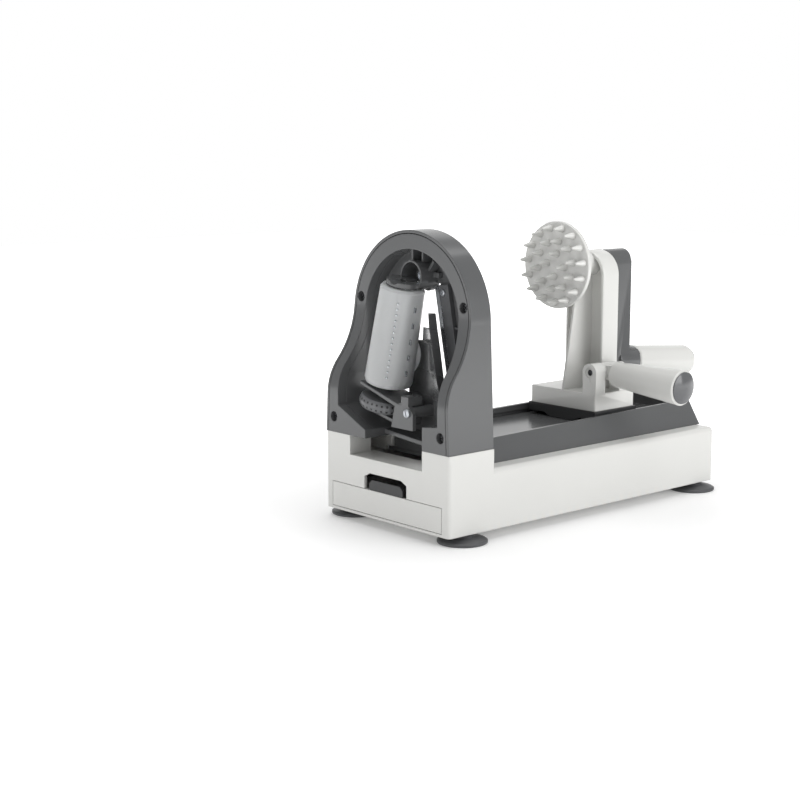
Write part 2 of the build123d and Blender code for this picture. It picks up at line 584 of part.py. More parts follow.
# ---- drawer
def drawer_tray():
    """White tray with a front panel flush with the tub."""
    wall, half = 2.0, DRAWER_HALF - 1
    low, high = DRAWER_LOW + 2, DRAWER_HIGH - 1.5
    tray = box((WALL, WALL + DRAWER_LENGTH), (-half, half), (low, high))
    tray = fillet(tray.edges().filter_by(Axis.Z), 4.0)
    hollow = box((WALL + wall, WALL + DRAWER_LENGTH - wall), (wall - half, half - wall), (low + wall, 50))
    tray -= fillet(hollow.edges().filter_by(Axis.Z), 3.0)
    return tray + box((0, WALL + 1), (-DRAWER_HALF, DRAWER_HALF), (DRAWER_LOW, DRAWER_HIGH))


def drawer_pull():
    """Grey tab that stands in the finger window."""
    low, high = DRAWER_HIGH, 36.5
    outline = [(-19, low), (19, low), (19, high - 3), (16, high), (-16, high), (-19, high - 3)]
    tab = across(outline, 0.6, 2.4)
    return tab + box((1.0, 2.4), (-19, 19), (low, low + 1.5))


# ---- carriage
def carriage():
    """Plate, tower with a web between two recesses, gusset, shaft boss and hinge ears."""
    rear = TOWER_X + TOWER_DEPTH
    body = box((PLATE_X, PLATE_X + PLATE_LENGTH), (-PLATE_HALF, PLATE_HALF), (PLATE_LOW, PLATE_HIGH))
    upright = body.edges().filter_by(Axis.Z)
    body = fillet(upright, 1.5)
    rim = 2.6
    low = PLATE_HIGH - 1
    tower = round_top(TOWER_HALF, low, TOWER_ARC_Z, TOWER_X, rear)
    web_front, web_back = TOWER_X + 7.6, TOWER_X + 10.6
    tower -= round_top(TOWER_HALF - rim, PLATE_HIGH, TOWER_ARC_Z, TOWER_X - 1, web_front)
    tower -= round_top(TOWER_HALF - rim, PLATE_HIGH, TOWER_ARC_Z, web_back, rear + 1)
    body += tower
    gusset = [(PLATE_X, PLATE_HIGH - 1), (PLATE_X, PLATE_HIGH + 2), (208.5, 181), (web_front + 1, 181)]
    gusset += [(web_front + 1, PLATE_HIGH - 1)]
    body += along_y(gusset, -1.3, 1.3)
    for z in (118, 150):
        body += box((web_back - 0.5, rear - 1), (-TOWER_HALF + 1, TOWER_HALF - 1), (z, z + 2))
    body += corer_axis_bore(10.6, DISC_X + DISC_THICK + 1.2, rear)
    body -= corer_axis_bore(BUSH_RADIUS, DISC_X, rear + 1)
    for start, end, reach in ((PLATE_X, PLATE_X + 11.9, 7.3), (223.7, 232.0, 6.0)):
        ear = round_top(reach, PLATE_HIGH - 1 - HINGE_Z, 0, start, end)
        body += Pos(0, HINGE_Y, HINGE_Z) * ear
    pin_start, pin_end = PLATE_X + 1.2, 231.0
    body -= rod(HINGE_RADIUS, (pin_start, HINGE_Y, HINGE_Z), (pin_end, HINGE_Y, HINGE_Z))
    body -= rod(4.2, (PLATE_X - 1, HINGE_Y, HINGE_Z), (pin_start, HINGE_Y, HINGE_Z))
    for x, y in SLIDER_SCREWS:
        body -= rod(1.5, (x, y, PLATE_LOW - 1), (x, y, PLATE_LOW + 9))
    return body


SLIDER_SCREWS = [(x, y) for x in (200, 234) for y in (-27, 27)]


def slider():
    """Dark runner that carries the plate, with a keel and two side tongues in the rail grooves."""
    start, end, half = PLATE_X - 1.2, PLATE_X + PLATE_LENGTH + 1.2, 36.9
    runner = box((start, end), (-half, half), (GROOVE_HIGH + 0.4, PLATE_LOW))
    keel_low = TROUGH_FLOOR + 0.4
    step = GROOVE_HIGH + 0.5
    keel = [(-20, step), (-13, keel_low), (13, keel_low), (20, step)]
    runner += across(keel, start, end)
    for mirror_y in (1, -1):
        leg = sorted((mirror_y * 33.5, mirror_y * half))
        runner += box((start + 7, end - 7), leg, (keel_low, step))
        tongue = sorted((mirror_y * (half - 1), mirror_y * (TROUGH_HALF + GROOVE_DEPTH - 0.4)))
        runner += box((start + 7, end - 7), tongue, (keel_low, GROOVE_HIGH - 0.4))
    for x, y in SLIDER_SCREWS:
        runner -= rod(1.8, (x, y, keel_low), (x, y, PLATE_LOW + 1))
        runner -= rod(3.6, (x, y, keel_low), (x, y, step + 2.6))
    return runner


def slider_screws():
    step = GROOVE_HIGH + 0.5
    screws = []
    for x, y in SLIDER_SCREWS:
        head = rod(3.4, (x, y, step + 0.6), (x, y, step + 2.6))
        screws.append(head + rod(1.5, (x, y, step + 2.6), (x, y, PLATE_LOW + 8)))
    return Compound(children=screws)


def shaft_bush(start, end, flange_start):
    bush = corer_axis_bore(BUSH_RADIUS, start, end)
    bush += corer_axis_bore(9.6, flange_start, flange_start + 0.8)
    return bush - corer_axis_bore(SHAFT_RADIUS + RUNNING_GAP, start - 2, end + 2)


def hinge_pin():
    return rod(HINGE_RADIUS, (PLATE_X + 1.2, HINGE_Y, HINGE_Z), (231.0, HINGE_Y, HINGE_Z))


# ---- push handle
def push_plane(distance=0.0):
    """Plane square to the push handle's axis, looking outwards."""
    lean = radians(PUSH_DROOP)
    outward = Vector(0, -cos(lean), -sin(lean))
    start = Vector(x_at(PUSH_X), PUSH_ROOT_Y, HINGE_Z - 2.1)
    return Plane(origin=start + outward * distance, x_dir=(1, 0, 0), z_dir=outward)


PUSH_BORE, PUSH_BORE_START = 8.6, 8.0


def push_grip():
    """Tapered hollow grip with a knuckle that sits between the carriage's ears."""
    profile = Polyline(
        (0, 0), (PUSH_ROOT_RADIUS - 2, 0), (PUSH_ROOT_RADIUS, 2), (PUSH_END_RADIUS, PUSH_LENGTH - 1),
        (PUSH_END_RADIUS - 1, PUSH_LENGTH), (PUSH_BORE, PUSH_LENGTH), (PUSH_BORE, PUSH_BORE_START),
        (0, PUSH_BORE_START), close=True,
    )
    tube = push_plane() * revolve(Plane.XZ * make_face(profile), Axis.Z)
    knuckle = rod(6.8, (205.2, HINGE_Y, HINGE_Z), (223.2, HINGE_Y, HINGE_Z))
    neck = box((207, 221.4), (PUSH_ROOT_Y - 1, HINGE_Y), (HINGE_Z - 6.4, HINGE_Z + 5.2))
    grip = tube + knuckle + neck
    return grip - rod(HINGE_RADIUS + RUNNING_GAP, (200, HINGE_Y, HINGE_Z), (228, HINGE_Y, HINGE_Z))


def push_cap():
    """Domed cap with a plug."""
    foot, seat, rim, rise = PUSH_LENGTH - 7, PUSH_LENGTH, PUSH_LENGTH + 0.6, 2.6
    side = Polyline((0, rim + rise), (0, foot), (PUSH_BORE, foot), (PUSH_BORE, seat), (12.6, seat), (12.6, rim))
    return push_plane() * revolve(Plane.XZ * make_face([side, dome_arc(12.6, rim, rise)]), Axis.Z)


# ---- crank
def prong_disc():
    """Round disc that carries the prongs."""
    disc = corer_axis_bore(DISC_RADIUS, DISC_X, DISC_X + DISC_THICK)
    disc = fillet(disc.edges(), 0.8)
    return disc - corer_axis_bore(SHAFT_RADIUS, DISC_X + 1.5, DISC_X + 10)


def prongs():
    """Rings of pointed cones on the disc's face, one solid each."""
    cone = Cone(PRONG_RADIUS, 0.5, PRONG_LENGTH, align=(Align.CENTER, Align.CENTER, Align.MIN))
    cones = []
    for count, ring, first in PRONG_RINGS:
        for index in range(count):
            turn = radians(first + 360 * index / count)
            origin = (x_at(DISC_X), ring * cos(turn), AXIS_Z + ring * sin(turn))
            cones.append(Plane(origin=origin, z_dir=(-1, 0, 0)) * cone)
    return Compound(children=cones)


def crank_shaft():
    end = ARM_X + ARM_DEPTH - 3
    shaft = corer_axis_bore(SHAFT_RADIUS, DISC_X + 1.5, end)
    return shaft - corer_axis_bore(2.0, end - 12, end + 1)


def arm_screw():
    end = ARM_X + ARM_DEPTH
    return corer_axis_bore(4.6, end - 3, end + 1.6) + corer_axis_bore(2.0, end - 14, end - 2)


def grip_plane(distance=0.0):
    """Plane square to the grip's drooping axis, a distance from the arm's rear face."""
    lean = radians(GRIP_DROOP)
    outward = Vector(cos(lean), 0, -sin(lean))
    start = Vector(x_at(ARM_X + ARM_DEPTH), 0, AXIS_Z - CRANK_DROP)
    return Plane(origin=start + outward * distance, x_dir=(0, 1, 0), z_dir=outward)


def grip_rod(radius, low, high):
    return extrude(grip_plane(low) * Circle(radius), high - low)


BOSS_LENGTH = 12.0


def crank_arm():
    """Deep arm, hollow towards the tower, with a hub for the shaft and a boss for the grip."""
    rear = ARM_X + ARM_DEPTH
    foot_z = AXIS_Z - CRANK_DROP
    wall = 3.0
    def slab(half, start, end):
        return round_top(half, foot_z, ARM_TOP_ARC_Z, start, end) + rod(half, (start, 0, foot_z), (end, 0, foot_z))

    arm = slab(ARM_HALF, ARM_X, rear)
    rim = arm.faces().sort_by(Axis.X)[-1].edges()
    arm = fillet(rim, 2.0)
    arm -= slab(ARM_HALF - wall, ARM_X - 1, rear - wall)
    arm += corer_axis_bore(ARM_HALF - 1, ARM_X, rear - 1)
    boss = grip_rod(GRIP_RADIUS, -14, BOSS_LENGTH) & box((ARM_X + 4, rear + 30), (-20, 20), (60, 150))
    arm += boss
    arm -= corer_axis_bore(SHAFT_RADIUS, ARM_X - 1, rear - wall)
    arm -= corer_axis_bore(4.6, rear - wall - 0.5, rear + 1)
    return arm - grip_rod(GRIP_PIN_RADIUS, -10, BOSS_LENGTH + 1)


def grip_pin():
    """Shouldered bolt pressed into the boss, with a head that keeps the grip on."""
    pin = grip_rod(GRIP_PIN_RADIUS, -10, BOSS_LENGTH + GRIP_LENGTH - 12)
    return pin + grip_rod(6.5, BOSS_LENGTH + GRIP_LENGTH - 12, BOSS_LENGTH + GRIP_LENGTH - 9)


def crank_grip():
    """Slightly waisted sleeve on the pin, open at its far end for the head and the cap."""
    low, high = BOSS_LENGTH + 0.4, BOSS_LENGTH + GRIP_LENGTH
    bore, counterbore = GRIP_PIN_RADIUS + RUNNING_GAP, 8.6
    seat = high - 12.3
    profile = Polyline(
        (bore, low), (GRIP_RADIUS - 1.5, low), (GRIP_RADIUS - 0.2, low + 1.5), (GRIP_RADIUS + 0.4, high - 4),
        (GRIP_RADIUS - 1.2, high), (counterbore, high), (counterbore, seat), (bore, seat), close=True,
    )
    return grip_plane() * revolve(Plane.XZ * make_face(profile), Axis.Z)


def crank_cap():
    high = BOSS_LENGTH + GRIP_LENGTH
    radius, rise = GRIP_RADIUS - 1.4, 3.0
    side = Polyline((0, high + rise), (0, high - 6), (8.6, high - 6), (8.6, high), (radius, high))
    return grip_plane() * revolve(Plane.XZ * make_face([side, dome_arc(radius, high, rise)]), Axis.Z)


# ---- the whole set
def all_nodes():
    rear = TOWER_X + TOWER_DEPTH
    hub_front = DISC_X + DISC_THICK + 1.2
    nodes = {
        "base_tub": base_tub(),
        "base_floor": base_floor(),
        "floor_screws": floor_screws(),
        "rail_frame": rail_frame(),
        "arch_shell": arch_shell(),
        "arch_cover": arch_cover(),
        "arch_screws": arch_screws(),
        "blade_holder": blade_holder(),
        "straight_blade": straight_blade(),
        "holder_screws": holder_screws(),
        "noodle_fin": noodle_fin(),
        "corer_collar": corer_collar(),
        "corer_tube": corer_tube(),
        "drum_bracket": drum_bracket(),
        "bracket_screw": bracket_screw(),
        "drum_body": drum_body(),
        "fine_teeth": toothed_blade(FINE_TURN, FINE_TEETH, FINE_WIDTH, 1.0),
        "coarse_teeth": toothed_blade(COARSE_TURN, COARSE_TEETH, COARSE_WIDTH, 1.2),
        "flat_blade": flat_blade(),
        "selector_wheel": selector_wheel(),
        "drum_axle": drum_axle(),
        "drawer_tray": drawer_tray(),
        "drawer_pull": drawer_pull(),
        "carriage": carriage(),
        "slider": slider(),
        "slider_screws": slider_screws(),
        "shaft_bush_front": shaft_bush(hub_front, hub_front + 14, hub_front - 0.8),
        "shaft_bush_rear": shaft_bush(rear - 14, rear, rear),
        "hinge_pin": hinge_pin(),
        "push_grip": push_grip(),
        "push_cap": push_cap(),
        "prong_disc": prong_disc(),
        "prongs": prongs(),
        "crank_shaft": crank_shaft(),
        "crank_arm": crank_arm(),
        "arm_screw": arm_screw(),
        "grip_pin": grip_pin(),
        "crank_grip": crank_grip(),
        "crank_cap": crank_cap(),
    }
    for end, x in zip(("front", "rear"), FOOT_X):
        for side, y in (("near", -FOOT_Y), ("far", FOOT_Y)):
            nodes[f"suction_foot_{end}_{side}"] = suction_foot(x, y)
    return nodes


os.makedirs("parts", exist_ok=True)
for name, part in all_nodes().items():
    export_step(part, f"parts/{name}.step")
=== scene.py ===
# %% [markdown]
# # A tabletop spiralizer with a crank
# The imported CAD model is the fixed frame: every solid has its real size and place, and rides on its
# own moving body. This lesson dresses it. It gives each moulding the finish of the real plastic, steel
# or rubber, rounds the edges that a mould would leave round, and adds the small things that the solids
# leave out, such as the drives of the screws and the dimples of the selector wheel.

import json
from math import pi, radians

import bmesh
import bpy
from mathutils import Matrix, Vector


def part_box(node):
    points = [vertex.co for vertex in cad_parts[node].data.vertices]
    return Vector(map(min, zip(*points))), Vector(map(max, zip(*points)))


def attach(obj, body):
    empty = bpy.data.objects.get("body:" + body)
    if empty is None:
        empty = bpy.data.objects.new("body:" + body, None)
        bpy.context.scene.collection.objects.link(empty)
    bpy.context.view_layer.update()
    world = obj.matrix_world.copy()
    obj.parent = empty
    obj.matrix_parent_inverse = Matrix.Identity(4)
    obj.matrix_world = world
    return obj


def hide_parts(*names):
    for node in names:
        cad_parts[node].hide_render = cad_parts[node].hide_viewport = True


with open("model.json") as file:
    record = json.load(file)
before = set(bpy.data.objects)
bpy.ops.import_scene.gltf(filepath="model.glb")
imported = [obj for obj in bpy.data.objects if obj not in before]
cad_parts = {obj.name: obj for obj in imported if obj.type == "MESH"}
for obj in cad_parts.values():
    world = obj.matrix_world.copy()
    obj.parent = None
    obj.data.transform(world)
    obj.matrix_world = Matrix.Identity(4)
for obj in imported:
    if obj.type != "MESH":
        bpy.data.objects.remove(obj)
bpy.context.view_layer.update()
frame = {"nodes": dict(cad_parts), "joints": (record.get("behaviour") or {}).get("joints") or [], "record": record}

# %% [markdown]
# ## Camera
# The photograph was taken with a long lens from a low, slightly raised place, in front of the arch and
# towards its -Y side. The camera could be aimed by eye, but then nothing would line up. Its place, turn and
# focal length were worked out from the base's long edges instead, so the model falls on the photograph.

# %% Camera
MM = 0.001
CAMERA_PLACE = Vector((-894.9, -863.5, 292.2)) * MM
CAMERA_DOWN, CAMERA_TURN = 9.58, 41.27  # degrees below the horizon, and clockwise from +Y
LENS_MM, SENSOR_MM = 70.14, 36.0

camera_data = bpy.data.cameras.new("camera")
camera_data.lens, camera_data.sensor_width = LENS_MM, SENSOR_MM
camera = bpy.data.objects.new("camera", camera_data)
camera.location = CAMERA_PLACE
camera.rotation_euler = (radians(90 - CAMERA_DOWN), 0, radians(-CAMERA_TURN))
bpy.context.scene.collection.objects.link(camera)
bpy.context.scene.camera = camera
print("camera", [round(value, 3) for value in camera.location], "lens", LENS_MM)

# %% [markdown]
# ## Floor and light
# A product picture like this one is lit by large soft sources, so that glossy plastic shows wide pale
# reflections and no hard spots. One big panel hangs over the object, one stands at the camera's right and a
# weaker one at its left. A fourth stands behind, hidden from the camera, and is what the glossy tops and
# edges mirror. The world looks white behind the object, but lights it at less than half of that, or the
# shadows would go. The floor is a pale plastic sheet lit from below away from the object, as a photographer's
# table is, so it fades to white and shows no horizon.

# %% Floor and light
def linear(hex_colour):
    """Linear colour with alpha of an sRGB hex value such as e8e8e4."""
    parts = [int(hex_colour[place:place + 2], 16) / 255 for place in (0, 2, 4)]
    curve = [part / 12.92 if part <= 0.04045 else ((part + 0.055) / 1.055) ** 2.4 for part in parts]
    return (*curve, 1.0)


def add(tree, kind, values=None, links=None, **settings):
    """Adds a node with its settings, socket values and links, and returns it."""
    node = tree.nodes.new(kind)
    for name, value in settings.items():
        setattr(node, name, value)
    for socket, value in (values or {}).items():
        node.inputs[socket].default_value = value
    for socket, (source, output) in (links or {}).items():
        tree.links.new(source.outputs[output], node.inputs[socket])
    return node


OBJECT_MIDDLE = Vector((0, 0, 0.1))


def soft_panel(name, place, size, power):
    """Square area light, in metres and watts, that looks at the middle of the object."""
    data = bpy.data.lights.new(name, "AREA")
    data.shape, data.size, data.energy = "SQUARE", size, power
    panel = bpy.data.objects.new(name, data)
    panel.location = place
    panel.rotation_euler = (OBJECT_MIDDLE - Vector(place)).to_track_quat("-Z", "Y").to_euler()
    bpy.context.scene.collection.objects.link(panel)
    return panel


soft_panel("panel_over", (0.1, 0.1, 1.5), 1.5, 12.0)
soft_panel("panel_right", (0.5, -1.6, 0.6), 1.0, 13.0)
soft_panel("panel_left", (-1.7, 0.1, 0.5), 1.0, 4.5)
backdrop = soft_panel("panel_back", (1.5, 1.7, 0.7), 2.2, 9.0)
backdrop.visible_camera = False

WORLD_LIGHT = 0.42  # the world's brightness for everything but the camera
world = bpy.data.worlds.new("studio")
bpy.context.scene.world = world
world.use_nodes = True
sky = world.node_tree
sky.nodes["Background"].inputs["Color"].default_value = linear("ffffff")
ray = add(sky, "ShaderNodeLightPath")
brightness = add(sky, "ShaderNodeMapRange", {"To Min": WORLD_LIGHT, "To Max": 1.0},
                 {"Value": (ray, "Is Camera Ray")})
sky.links.new(brightness.outputs["Result"], sky.nodes["Background"].inputs["Strength"])
bpy.context.scene.view_settings.view_transform = "Standard"

FLOOR_HALF = 3.0
GLOW_STARTS, GLOW_IS_FULL, GLOW_AT_OBJECT = 0.15, 0.75, 0.12  # two distances in metres, and a strength
sheet = bmesh.new()
bmesh.ops.create_grid(sheet, x_segments=1, y_segments=1, size=FLOOR_HALF)
floor_mesh = bpy.data.meshes.new("floor")
sheet.to_mesh(floor_mesh)
sheet.free()
floor = bpy.data.objects.new("floor", floor_mesh)
bpy.context.scene.collection.objects.link(floor)
table = bpy.data.materials.new("white_acrylic_table_lit_from_below")
table.use_nodes = True
tree, shader = table.node_tree, table.node_tree.nodes["Principled BSDF"]
shader.inputs["Base Color"].default_value = linear("f2f2f2")
shader.inputs["Roughness"].default_value = 0.6
shader.inputs["Emission Color"].default_value = linear("ffffff")
place = add(tree, "ShaderNodeTexCoord")
away = add(tree, "ShaderNodeVectorMath", links={0: (place, "Object")}, operation="LENGTH")
glow = add(tree, "ShaderNodeMapRange", {"From Min": GLOW_STARTS, "From Max": GLOW_IS_FULL,
                                        "To Min": GLOW_AT_OBJECT, "To Max": 1.0}, {"Value": (away, "Value")})
tree.links.new(glow.outputs["Result"], shader.inputs["Emission Strength"])
floor_mesh.materials.append(table)

# %% [markdown]
# ## Moulded plastics
# The white and grey shells are injection-moulded ABS. Its gloss is fairly high, but never a mirror: the steel
# of the mould leaves a faint waviness, a millimetre or two across, and the flow of the melt leaves slow
# changes of gloss over a few centimetres. One function makes each plastic from these facts, with a colour,
# a roughness and the size of its waves. The Bevel node rounds what light does at an edge, as a
# mould's small radius would, without a single extra face.

# %% Plastics
CLOUD_MM = 45  # width of the slow clouds
GLOSS_LOW, GLOSS_HIGH = 0.82, 1.18  # how far the roughness strays, as shares of it


def surface(name):
    """New material with its tree and its Principled node."""
    material = bpy.data.materials.new(name)
    material.use_nodes = True
    tree = material.node_tree
    return material, tree, tree.nodes["Principled BSDF"]


def moulded(name, colour, shade, roughness, wave_mm, wave_height_mm, edge_mm=0.5, ior=1.53):
    """Moulded plastic: two close colours in slow clouds, uneven gloss and a faintly wavy skin."""
    material, tree, shader = surface(name)
    place = add(tree, "ShaderNodeTexCoord")
    clouds = add(tree, "ShaderNodeTexNoise", {"Scale": 1 / (CLOUD_MM * MM), "Detail": 3.0},
                 {"Vector": (place, "Object")})
    tint = add(tree, "ShaderNodeMixRGB", {"Color1": linear(colour), "Color2": linear(shade)},
               {"Fac": (clouds, "Fac")})
    tree.links.new(tint.outputs["Color"], shader.inputs["Base Color"])
    gloss = add(tree, "ShaderNodeMapRange", {"To Min": roughness * GLOSS_LOW, "To Max": roughness * GLOSS_HIGH},
                {"Value": (clouds, "Fac")})
    tree.links.new(gloss.outputs["Result"], shader.inputs["Roughness"])
    waves = add(tree, "ShaderNodeTexNoise", {"Scale": 1 / (wave_mm * MM), "Detail": 2.0},
                {"Vector": (place, "Object")})
    edge = add(tree, "ShaderNodeBevel", {"Radius": edge_mm * MM}, samples=4)
    skin = add(tree, "ShaderNodeBump", {"Strength": 1.0, "Distance": wave_height_mm * MM},
               {"Height": (waves, "Fac"), "Normal": (edge, "Normal")})
    tree.links.new(skin.outputs["Normal"], shader.inputs["Normal"])
    shader.inputs["IOR"].default_value = ior
    return material


WHITE_ABS = moulded("white_abs_moulded", "d6d6d3", "d3d3d0", 0.24, 2.0, 0.005, edge_mm=0.8)
GREY_ABS = moulded("grey_abs_moulded", "5a5b5c", "58595a", 0.2, 2.0, 0.005, edge_mm=1.0)
DARK_PP = moulded("dark_polypropylene_moulded", "38393a", "343536", 0.38, 1.2, 0.01, ior=1.49)
CAP_GREY = moulded("grey_cap_abs_polished", "5c5d5f", "595a5c", 0.16, 1.2, 0.006, edge_mm=0.8)
BUSH_ACETAL = moulded("grey_acetal_turned", "8f9092", "888a8c", 0.45, 0.8, 0.01, ior=1.48)
FOOT_RUBBER = moulded("suction_foot_rubber_moulded", "4e4f51", "48494b", 0.42, 0.9, 0.012, ior=1.5)
PLASTICS = (WHITE_ABS, GREY_ABS, DARK_PP, CAP_GREY, BUSH_ACETAL, FOOT_RUBBER)
print("plastics:", [item.name for item in PLASTICS])

# %% [markdown]
# ## Frosted drum
# The drum is clear plastic with a matt-etched mould, so it glows where light falls through the wall and hides
# what is inside. Scattering below the surface gives that glow, and about half of the light passes through.
# The etch is finer than a pixel, and is drawn here half a millimetre wide, just coarse enough to break up
# the highlight. The index of refraction of real SAN is 1.57, and it is lowered here.

# %% Frosted plastic
ETCH_MM, ETCH_DEPTH_MM, THICKNESS_MM = 0.5, 0.012, 25
SCATTER_RADIUS = 4 * MM

FROSTED, tree, shader = surface("frosted_san_etched")
place = add(tree, "ShaderNodeTexCoord")
etch = add(tree, "ShaderNodeTexNoise", {"Scale": 1 / (ETCH_MM * MM), "Detail": 2.0},
           {"Vector": (place, "Object")})
etch_bump = add(tree, "ShaderNodeBump", {"Strength": 1.0, "Distance": ETCH_DEPTH_MM * MM},
                {"Height": (etch, "Fac")})
tree.links.new(etch_bump.outputs["Normal"], shader.inputs["Normal"])
thickness = add(tree, "ShaderNodeTexNoise", {"Scale": 1 / (THICKNESS_MM * MM), "Detail": 2.0},
                {"Vector": (place, "Object")})
milky = add(tree, "ShaderNodeMixRGB", {"Color1": linear("eaebeb"), "Color2": linear("dfe1e2")},
            {"Fac": (thickness, "Fac")})
tree.links.new(milky.outputs["Color"], shader.inputs["Base Color"])
shader.inputs["Roughness"].default_value = 0.3
shader.inputs["IOR"].default_value = 1.35
shader.inputs["Subsurface Weight"].default_value = 0.2
shader.inputs["Subsurface Radius"].default_value = (SCATTER_RADIUS,) * 3
shader.inputs["Transmission Weight"].default_value = 0.55
print("frosted:", FROSTED.name)

# %% [markdown]
# ## Steels
# The blades are stainless strip, ground along its length, so the scratches run one way. Most screws, pins and
# shafts are turned and zinc-plated: duller and a little cloudy. The arch's screws and the hinge pin sit deep
# in holes, and their steel is coloured dark instead, as painted shade of those holes. A metal's colour is its
# reflection, so the bright ones start from a pale grey, and they differ in roughness and in the direction of their
# marks. Real scratches are a few hundredths of a millimetre wide, which no picture at this size shows, so they are
# drawn much wider.

# %% Steels
DULL_LOW, DULL_HIGH = 0.7, 1.3  # how far a mark's roughness strays, as shares of it


def steel(name, colour, shade, roughness, grit_mm, stretch, depth_mm):
    """Metal with marks of a grit's width, drawn out along X and Z, so that they run up a standing blade."""
    material, tree, shader = surface(name)
    place = add(tree, "ShaderNodeTexCoord")
    drawn = add(tree, "ShaderNodeMapping", {"Scale": (1 / stretch, 1.0, 1 / stretch)},
                {"Vector": (place, "Object")})
    marks = add(tree, "ShaderNodeTexNoise", {"Scale": 1 / (grit_mm * MM), "Detail": 3.0},
                {"Vector": (drawn, "Vector")})
    tint = add(tree, "ShaderNodeMixRGB", {"Color1": linear(colour), "Color2": linear(shade)},
               {"Fac": (marks, "Fac")})
    tree.links.new(tint.outputs["Color"], shader.inputs["Base Color"])
    dull = add(tree, "ShaderNodeMapRange", {"To Min": roughness * DULL_LOW, "To Max": roughness * DULL_HIGH},
               {"Value": (marks, "Fac")})
    tree.links.new(dull.outputs["Result"], shader.inputs["Roughness"])
    scratch = add(tree, "ShaderNodeBump", {"Strength": 1.0, "Distance": depth_mm * MM},
                  {"Height": (marks, "Fac")})
    tree.links.new(scratch.outputs["Normal"], shader.inputs["Normal"])
    shader.inputs["Metallic"].default_value = 1.0
    return material


BLADE_STEEL = steel("stainless_strip_ground", "d4d6d9", "c3c6ca", 0.26, 0.4, 12.0, 0.004)
ZINC_STEEL = steel("steel_turned_zinc_plated", "c2c5c9", "aeb1b6", 0.34, 0.7, 1.0, 0.006)
# Painted shade: this steel is coloured dark grey for the shade of the deep holes that the arch's screws and the
# hinge pin sit in.
SHADE_DARKENED_STEEL = steel("steel_darkened_as_painted_shade", "5e5f61", "4b4c4e", 0.38, 0.7, 1.0, 0.006)
print("steels:", BLADE_STEEL.name, ZINC_STEEL.name, SHADE_DARKENED_STEEL.name)

# %% [markdown]
# ## Selector wheel
# The wheel between the bracket's arms is turned with a finger, and two rows of dimples round its crown give the
# finger a hold. They could be cut as sixty small dents, but at this size a pattern reads the same: it bumps each
# dimple in and paints it near-black, as painted shade in its hollow. The Mapping node moves the pattern's origin
# to the wheel's middle and turns its Z onto the tilted axle. An angle then counts the dimples, and the height
# along the axle places the two rows.

# %% Dimpled wheel
drum_joint = next(joint for joint in frame["joints"] if joint["name"] == "blade_drum_turn")
AXLE = Vector(drum_joint["axis"]).normalized()
WHEEL_MIDDLE = Vector(drum_joint["pos_m"])
to_wheel = AXLE.rotation_difference(Vector((0, 0, 1)))
DIMPLES, DIMPLE_RADIUS, ROW_HEIGHT, WHEEL_RADIUS = 30, 0.85 * MM, 2.1 * MM, 19.7 * MM
DIMPLE_RIM, DIMPLE_FLOOR, DIMPLE_DEPTH = 1.25, 0.6, 0.5 * MM  # rim and floor as shares of the radius

WHEEL_ABS, tree, shader = surface("grey_selector_wheel_abs")
place = add(tree, "ShaderNodeTexCoord")
centred = add(tree, "ShaderNodeMapping",
              {"Rotation": to_wheel.to_euler(), "Location": -(to_wheel @ WHEEL_MIDDLE)},
              {"Vector": (place, "Object")})
axes = add(tree, "ShaderNodeSeparateXYZ", links={"Vector": (centred, "Vector")})
turn = add(tree, "ShaderNodeMath", links={0: (axes, "Y"), 1: (axes, "X")}, operation="ARCTAN2")
count = add(tree, "ShaderNodeMath", {1: DIMPLES / (2 * pi)}, {0: (turn, "Value")}, operation="MULTIPLY")
share = add(tree, "ShaderNodeMath", {1: 1.0}, {0: (count, "Value")}, operation="FLOORED_MODULO")
aside = add(tree, "ShaderNodeMath", {1: 0.5}, {0: (share, "Value")}, operation="SUBTRACT")
across = add(tree, "ShaderNodeMath", {1: 2 * pi * WHEEL_RADIUS / DIMPLES}, {0: (aside, "Value")},
             operation="MULTIPLY")
height = add(tree, "ShaderNodeMath", links={0: (axes, "Z")}, operation="ABSOLUTE")
from_row = add(tree, "ShaderNodeMath", {1: ROW_HEIGHT}, {0: (height, "Value")}, operation="SUBTRACT")
offset = add(tree, "ShaderNodeCombineXYZ", links={"X": (across, "Value"), "Y": (from_row, "Value")})
reach = add(tree, "ShaderNodeVectorMath", links={0: (offset, "Vector")}, operation="LENGTH")
dimple_and_shade = add(tree, "ShaderNodeMapRange",
             {"From Min": DIMPLE_RADIUS * DIMPLE_RIM, "From Max": DIMPLE_RADIUS * DIMPLE_FLOOR},
             {"Value": (reach, "Value")}, interpolation_type="SMOOTHSTEP")
# Painted shade: the dimples are coloured near-black for the shade in their hollows, and the crown between them is
# grey.
tint = add(tree, "ShaderNodeMixRGB", {"Color1": linear("646567"), "Color2": linear("232324")},
           {"Fac": (dimple_and_shade, "Result")})
tree.links.new(tint.outputs["Color"], shader.inputs["Base Color"])
dent = add(tree, "ShaderNodeBump", {"Strength": 1.0, "Distance": DIMPLE_DEPTH}, {"Height": (dimple_and_shade, "Result")},
           invert=True)
tree.links.new(dent.outputs["Normal"], shader.inputs["Normal"])
shader.inputs["Roughness"].default_value = 0.3
shader.inputs["IOR"].default_value = 1.53
print("wheel middle", [round(value / MM, 1) for value in WHEEL_MIDDLE], "mm, dimples per row:", DIMPLES)

# %% [markdown]
# ## Which node is made of what
# The record names a material slot for every node. Each slot gets its finish here, so a new node in a slot is
# never left plain. Only the selector wheel differs from its slot, and it gets its own finish afterwards.

